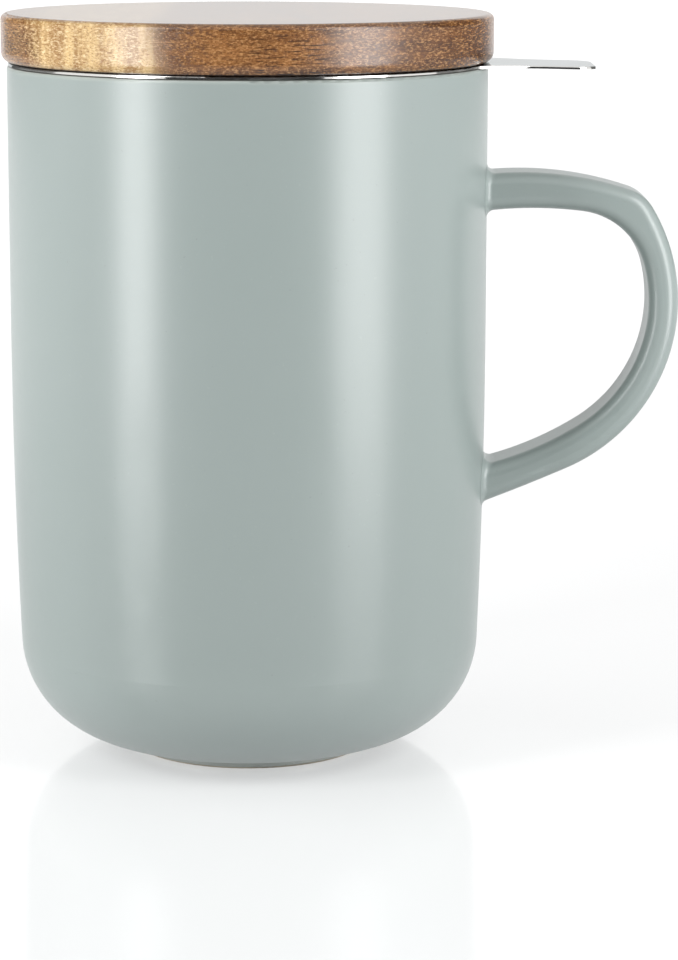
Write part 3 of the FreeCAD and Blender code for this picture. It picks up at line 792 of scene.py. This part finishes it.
sleeve_margins(sleeve_flat)
print("flat sleeve", round(GIRTH + SEAM_LAP, 1), "mm long, in", len(sleeve_flat.faces), "faces")

# %% [markdown]
# ## Rolling the sleeve
# Rolling wraps the plan round the infuser's axis, with the lap's middle on the handle's
# side. At the lap the radius eases inwards by a little over one thickness, as the press
# does it. A Curve or Simple Deform modifier can roll a sheet too, but can't step it.

# %% Roll the sleeve
SLEEVE_HALF = 0.175


def on_sleeve(along, height, side):
    """A point of the flat sheet on the rolled sleeve, outside or inside."""
    share = min(max((along - STEP_START) / STEP_LENGTH, 0), 1)
    step = STEP_DEPTH * share * share * (3 - 2 * share)
    angle = (along - SEAM_LAP / 2) / SLEEVE_MIDDLE
    radius = SLEEVE_MIDDLE - step + side * SLEEVE_HALF
    return radius * math.cos(angle), radius * math.sin(angle), height


sleeve_mesh = thicken("rolled_sleeve", sleeve_flat, on_sleeve)
show(sleeve_mesh, satin_material, "infuser", "perforated_steel", "infuser_wall")

# %% [markdown]
# ## The infuser's floor
# The floor is a round punching with its edge turned up. Its holes use the same cells as
# the sleeve's, but only whole ones that lie well inside the round edge: the tool that
# punches such a floor spares the edge too, since it is bent afterwards. Cutting the field
# with a circle would be shorter, but would leave half holes.

# %% Punch the floor's holes
FIELD_RADIUS = 31.8


def floor_field(flat):
    """All whole cells that fit in the field. Gives their middles."""
    reach = int(FIELD_RADIUS / ROW_STEP) + 1
    centres = set()
    for row in range(-reach, reach + 1):
        for column in range(-reach, reach + 1):
            across, up = (column + (row % 2) / 2) * HOLE_PITCH, row * ROW_STEP
            if math.hypot(across, up) + CELL_RADIUS < FIELD_RADIUS:
                centres.add((round(across, 3), round(up, 3)))
    for across, up in sorted(centres):
        flat.cell(across, up)
    return centres


floor_flat = FlatSheet()
floor_centres = floor_field(floor_flat)
print("floor with", len(floor_centres), "holes")

# %% [markdown]
# ## From cells to a circle
# A round edge never fits a field of six-sided cells. The ring between the last whole
# cells and the first full circle is filled by a constrained triangulation, which keeps
# both borders as they are. It also fills what lies inside the cells, so triangles over a
# cell are left out. Snapping the cells to the circle would need no triangles, but would
# squash the outer holes.

# %% Fill the ring round the cells
RING_RADIUS = 33.6
RING_POINTS = 144
MERGE_LENGTH = 0.0001


def circle(radius):
    turns = (2 * math.pi * step / RING_POINTS for step in range(RING_POINTS))
    return [(radius * math.cos(turn), radius * math.sin(turn)) for turn in turns]


def cell_in_row(row, across):
    """The middle of this row's cell that is nearest to a place across."""
    shift = (row % 2) / 2
    column = round(across / HOLE_PITCH - shift)
    return (column + shift) * HOLE_PITCH, row * ROW_STEP


def on_hole(point):
    """True if a point lies on the edge of a hole rather than on a cell's own edge."""
    across, up = cell_in_row(round(point[1] / ROW_STEP), point[0])
    return math.hypot(point[0] - across, point[1] - up) < 1.1 * HOLE_RADIUS


def fill_ring(flat, centres):
    """Triangles between the field of cells and the first full circle."""
    border = [edge for edge in flat.rims() if not on_hole(flat.points[edge[0]])]
    used = sorted({corner for edge in border for corner in edge})
    order = {corner: place for place, corner in enumerate(used)}
    points = [Vector(flat.points[corner]) for corner in used]
    edges = [(order[start], order[end]) for start, end in border]
    first = len(points)
    points += [Vector(point) for point in circle(RING_RADIUS)]
    edges += [(first + step, first + (step + 1) % RING_POINTS) for step in range(RING_POINTS)]
    made = delaunay_2d_cdt(points, edges, [], 0, MERGE_LENGTH)
    made_points, triangles = made[0], made[2]
    for triangle in triangles:
        corners = [tuple(made_points[corner]) for corner in triangle]
        across = sum(x for x, y in corners) / 3
        up = sum(y for x, y in corners) / 3
        row = round(up / ROW_STEP)
        near = [cell_in_row(beside, across) for beside in (row - 1, row, row + 1)]
        cell = min(near, key=lambda centre: math.hypot(centre[0] - across, centre[1] - up))
        if (round(cell[0], 3), round(cell[1], 3)) not in centres:
            flat.face(*corners)


whole_cells = len(floor_flat.faces)
fill_ring(floor_flat, floor_centres)
print("ring of", len(floor_flat.faces) - whole_cells, "triangles round", whole_cells, "faces")

# %% [markdown]
# ## Pressing the floor
# Outside the holes, plain rings run up to the bend, through it and up the short edge. The
# flat disc is measured along the middle of the sheet, which a press neither stretches nor
# shortens, so each ring ends up where it would on the real pressing. A bevel on a cut-out
# cylinder would look alike, but the sheet's two faces would need one each.

# %% Press the floor
PAN_BOTTOM, PAN_TOP = 36.9, 40.9
PAN_RADIUS = 37.55
PAN_HALF = 0.2
BEND_RADIUS = 1.0
BEND_START = PAN_RADIUS - PAN_HALF - BEND_RADIUS
BEND_LENGTH = BEND_RADIUS * math.pi / 2
BEND_STEPS = 6
MARGIN_RADII = [34.6, 35.5]


def add_margin(flat):
    """Plain rings from the first full circle to the end of the turned-up edge."""
    wall_height = PAN_TOP - PAN_BOTTOM - PAN_HALF - BEND_RADIUS
    radii = [RING_RADIUS, *MARGIN_RADII, BEND_START]
    radii += [BEND_START + BEND_LENGTH * part / BEND_STEPS for part in range(1, BEND_STEPS + 1)]
    radii += [BEND_START + BEND_LENGTH + wall_height]
    for inner, outer in zip(radii, radii[1:]):
        near, far = circle(inner), circle(outer)
        for step in range(RING_POINTS):
            after = (step + 1) % RING_POINTS
            flat.face(near[step], far[step], far[after], near[after])


def on_floor(across, up, side):
    """A point of the flat disc on the pressed floor. The middle of the sheet leads."""
    run = math.hypot(across, up)
    inwards = side * PAN_HALF
    if run <= BEND_START:
        radius, height = run, PAN_BOTTOM + PAN_HALF + inwards
    else:
        angle = min((run - BEND_START) / BEND_RADIUS, math.pi / 2)
        radius = BEND_START + (BEND_RADIUS - inwards) * math.sin(angle)
        height = PAN_BOTTOM + PAN_HALF + BEND_RADIUS - (BEND_RADIUS - inwards) * math.cos(angle)
        height += max(run - BEND_START - BEND_LENGTH, 0)
    share = radius / run if run > 0 else 1.0
    return across * share, up * share, height


add_margin(floor_flat)
floor_mesh = thicken("pressed_floor", floor_flat, on_floor)
show(floor_mesh, satin_material, "infuser", "perforated_steel", "infuser_floor")

# %% [markdown]
# ## The lid's seal
# The seal is moulded silicone: a core that fills the groove and two lips. On the solid
# model its corners are sharp. Here the same outline gets the small rounds that a mould
# gives it, and is turned in fine steps so that the lips look soft in a close view.

# %% Turn the seal
SEAL_OUTLINE = [
    (34.38, 119.08, 0.3), (37.88, 119.08, 0.36), (37.88, 119.88, 0.36), (36.9, 119.88, 0.25),
    (36.9, 123.12, 0.25), (37.88, 123.12, 0.36), (37.88, 123.92, 0.36), (34.38, 123.92, 0.3),
]
TURN_STEPS = 180
ROUND_STEPS = 5


def rounded_outline(corners):
    """The outline with a small arc in place of each corner."""
    made = []
    for place, (x, y, size) in enumerate(corners):
        before, after = corners[place - 1], corners[(place + 1) % len(corners)]
        here = Vector((x, y))
        back = (Vector(before[:2]) - here).normalized()
        ahead = (Vector(after[:2]) - here).normalized()
        centre = here + (back + ahead) * size
        start, end = here + back * size - centre, here + ahead * size - centre
        for part in range(ROUND_STEPS + 1):
            angle = math.pi / 2 * part / ROUND_STEPS
            made.append(centre + start * math.cos(angle) + end * math.sin(angle))
    return made


def turned(name, outline):
    """A ring with this outline all the way round the axis."""
    points, faces = [], []
    count = len(outline)
    for step in range(TURN_STEPS):
        angle = 2 * math.pi * step / TURN_STEPS
        for point in outline:
            out, up = MM * point.x, MM * point.y
            points.append((out * math.cos(angle), out * math.sin(angle), up))
        after = (step + 1) % TURN_STEPS
        for place in range(count):
            below = (place + 1) % count
            corners = [(step, place), (after, place), (after, below), (step, below)]
            faces.append([turn * count + corner for turn, corner in corners])
    mesh = bpy.data.meshes.new(name)
    mesh.from_pydata(points, [], faces)
    mesh.shade_smooth()
    return mesh


seal_mesh = turned("moulded_seal", rounded_outline(SEAL_OUTLINE))
show(seal_mesh, silicone_material, "lid", "silicone", "lid_seal")

# %% [markdown]
# ## The table
# The mug stands on a glossy white table that shows a soft mirror image of it and fades
# into the white behind. Lighting a white sheet until it looks like that would take lamps
# that wash the mug out. So the table glows a little by itself, but only for rays from the
# camera and for mirror rays: the Light Path node tells them apart, and no glow falls on
# the mug.

# %% Lay the table
TABLE_SIZE = 8.0
TABLE_GLOW = 0.445
TABLE_GREY, TABLE_LIGHT = tint(185, 186, 187), tint(190, 191, 191)
WHITE = (1.0, 1.0, 1.0, 1.0)


def make_paint():
    paint = Finish("glossy_white_table")
    wear = paint.noise(8.0, detail=2.0)
    colour = paint.blend(wear, TABLE_GREY, TABLE_LIGHT)
    rough = paint.between(wear, 0.3, 0.7, 0.09, 0.12)
    path = paint.node("LightPath").outputs
    seen = paint.maths("MAXIMUM", path["Is Camera Ray"], path["Is Glossy Ray"])
    seen = paint.maths("MAXIMUM", seen, path["Is Transmission Ray"])
    glow = paint.maths("MULTIPLY", seen, TABLE_GLOW)
    paint.shade(Base_Color=colour, Roughness=rough, IOR=1.42)
    paint.shade(Emission_Color=WHITE, Emission_Strength=glow)
    return paint.material


def lay_table():
    half = TABLE_SIZE / 2
    mesh = bpy.data.meshes.new("table")
    corners = [(-half, -half, 0), (half, -half, 0), (half, half, 0), (-half, half, 0)]
    mesh.from_pydata(corners, [], [(0, 1, 2, 3)])
    mesh.materials.append(make_paint())
    table = bpy.data.objects.new("table", mesh)
    bpy.context.scene.collection.objects.link(table)


lay_table()
print("table", TABLE_SIZE, "m wide")

# %% [markdown]
# ## The white backdrop
# Behind the mug the picture is pure white, yet the mug itself isn't flooded with light.
# Brightening the whole world until the backdrop is white would wash it out. Instead the
# Light Path node shows camera and mirror rays a white world, while the light that falls
# on the mug stays at a low, plain level.

# %% Light the world
FILL_LEVEL = 0.20
BACKDROP_LEVEL = 1.0


def background(tree, level):
    made = tree.nodes.new("ShaderNodeBackground")
    made.inputs["Color"].default_value = WHITE
    made.inputs["Strength"].default_value = level
    return made.outputs[0]


def make_world():
    world = bpy.data.worlds.new("studio")
    world.use_nodes = True
    tree = world.node_tree
    tree.nodes.clear()
    path = tree.nodes.new("ShaderNodeLightPath").outputs
    seen = path["Is Camera Ray"]
    for other in ("Is Glossy Ray", "Is Transmission Ray"):
        either = tree.nodes.new("ShaderNodeMath")
        either.operation = "MAXIMUM"
        tree.links.new(seen, either.inputs[0])
        tree.links.new(path[other], either.inputs[1])
        seen = either.outputs[0]
    choice = tree.nodes.new("ShaderNodeMixShader")
    tree.links.new(seen, choice.inputs[0])
    tree.links.new(background(tree, FILL_LEVEL), choice.inputs[1])
    tree.links.new(background(tree, BACKDROP_LEVEL), choice.inputs[2])
    output = tree.nodes.new("ShaderNodeOutputWorld")
    tree.links.new(choice.outputs[0], output.inputs["Surface"])
    bpy.context.scene.world = world


make_world()
bpy.context.scene.view_settings.view_transform = "Standard"
print("world fill", FILL_LEVEL)

# %% [markdown]
# ## Soft boxes and cards
# Two tall soft boxes stand to the mug's left and right, a little in front, and give the
# two broad upright highlights. Large dim cards at the sides and behind lift the tones
# beyond them. The cards light the mug without showing in its shine, as a matt wall would.
# One big lamp in front would be simpler, but would flatten the round wall. Each box is
# given by the directions it fills as seen from the mug, since that sets how wide a
# highlight is and where it falls.

# %% Set up the soft boxes
def soft_box(name, sweep, distance, heights, radiance, mirrored=True):
    """A soft box that fills the given sweep of directions, seen from the mug.

    Angles are in degrees from the camera's side, to the right if they are positive. A box
    that isn't mirrored lights the mug without showing in its shine.
    """
    from_angle, to_angle = sweep
    low, high = heights
    middle = math.radians((from_angle + to_angle) / 2)
    width = 2 * distance * math.tan(math.radians(abs(to_angle - from_angle) / 2))
    lamp = bpy.data.lights.new(name, "AREA")
    lamp.shape = "RECTANGLE"
    lamp.size = width
    lamp.size_y = high - low
    lamp.energy = radiance * math.pi * lamp.size * lamp.size_y
    box = bpy.data.objects.new(name, lamp)
    centre = Vector((math.sin(middle), -math.cos(middle), 0)) * distance
    centre.z = (low + high) / 2
    box.location = centre
    aim = Vector((0, 0, centre.z)) - centre
    box.rotation_euler = aim.to_track_quat("-Z", "Y").to_euler()
    box.visible_camera = False
    box.visible_glossy = mirrored
    bpy.context.scene.collection.objects.link(box)
    print(name, "is", round(width, 2), "m wide and gives", round(lamp.energy, 2), "W")


soft_box("left_soft_box", (-58, -41), distance=0.36, heights=(0.0, 0.45), radiance=8.3)
soft_box("right_soft_box", (41, 66), distance=0.36, heights=(0.0, 0.45), radiance=6.5)
CARDS = [
    ("left_card", (-125, -68), 0.65, (0.0, 0.62), 2.05),
    ("right_card", (75, 125), 0.65, (0.0, 0.62), 0.95),
    ("back_card", (152, 208), 0.90, (0.1, 0.80), 0.9),
]
for card in CARDS:
    soft_box(*card, mirrored=False)

# %% [markdown]
# ## The dark curtain and the grey flats
# The side behind the camera is dark, which is why the middle of the mug is darker and the
# steel rim has a black middle. A curtain hangs there. Two grey flats, to the sides and
# further back, stand in for the rest of the room. Lowering the whole world would darken
# everything alike, while a hanging darkens only what faces it. The camera looks through
# all three.

# %% Hang the dark curtain and the grey flats
PANELS = 12


def hang(name, cloth, radius, sweep, heights):
    """A curved hanging at this distance from the mug, out of the camera's sight."""
    from_angle, to_angle = sweep
    low, high = heights
    points = []
    for step in range(PANELS + 1):
        angle = math.radians(from_angle + (to_angle - from_angle) * step / PANELS)
        across, along = radius * math.sin(angle), -radius * math.cos(angle)
        points += [(across, along, low), (across, along, high)]
    faces = [(2 * n, 2 * n + 2, 2 * n + 3, 2 * n + 1) for n in range(PANELS)]
    mesh = bpy.data.meshes.new(name)
    mesh.from_pydata(points, [], faces)
    mesh.materials.append(cloth)
    hanging = bpy.data.objects.new(name, mesh)
    hanging.visible_camera = False
    bpy.context.scene.collection.objects.link(hanging)
    print(name, "with", len(faces), "panels")


def make_cloth(name, dark, light):
    cloth = Finish(name)
    weave = cloth.noise(30.0, detail=2.0)
    cloth.shade(Base_Color=cloth.blend(weave, dark, light), Roughness=1.0)
    return cloth.material


black_cloth = make_cloth("dark_curtain_cloth", tint(26, 26, 27), tint(34, 34, 35))
grey_cloth = make_cloth("grey_flat_cloth", tint(120, 119, 117), tint(132, 131, 129))
hang("dark_curtain", black_cloth, radius=1.4, sweep=(-37, 37), heights=(0.002, 0.7))
hang("left_grey_flat", grey_cloth, radius=0.75, sweep=(-150, -100), heights=(0.075, 0.7))
hang("right_grey_flat", grey_cloth, radius=0.75, sweep=(100, 150), heights=(0.075, 0.7))

# %% [markdown]
# ## The size
# Dressing a model must not change its size.
